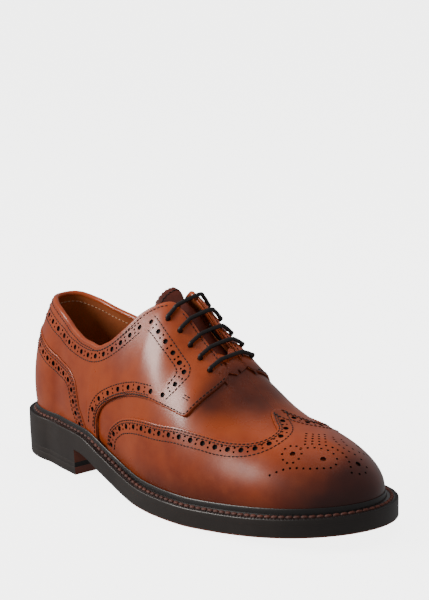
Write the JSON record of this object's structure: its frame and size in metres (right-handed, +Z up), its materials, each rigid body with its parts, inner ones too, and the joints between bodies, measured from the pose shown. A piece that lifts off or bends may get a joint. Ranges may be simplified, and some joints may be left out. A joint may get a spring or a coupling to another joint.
{
  "type": "brogue shoe",
  "caption": "Right derby shoe with wing cap, open-tab quarters, straight laces, storm welt, leather sole and stacked heel.",
  "frame": {"origin": "middle of the whole shoe's box in plan, at the floor", "axes": "+X from heel to toe, +Y to the inner (medial) side, +Z up"},
  "size_m": [0.302, 0.1115, 0.1217],
  "materials": {
    "calf": "polished tan calf, burnished darker at toe and sole line",
    "sole_edge": "burnished dark brown edge",
    "lining": "matt tan lining",
    "heel_stack": "stacked leather, dark dressed sides",
    "heel_band": "matt black",
    "heel_base": "red-brown dressed leather",
    "lace": "waxed dark brown cord"
  },
  "bodies": {
    "root": {"outsole": "sole_edge", "welt": "sole_edge", "insole": "lining", "top_piece": "heel_base", "heel_band": "heel_band", "heel_lifts": "heel_stack", "upper": "calf", "wing_cap": "calf", "quarter_outer": "calf", "quarter_inner": "calf", "counter": "calf", "tongue": "calf", "lace": "lace"}
  },
  "joints": []
}
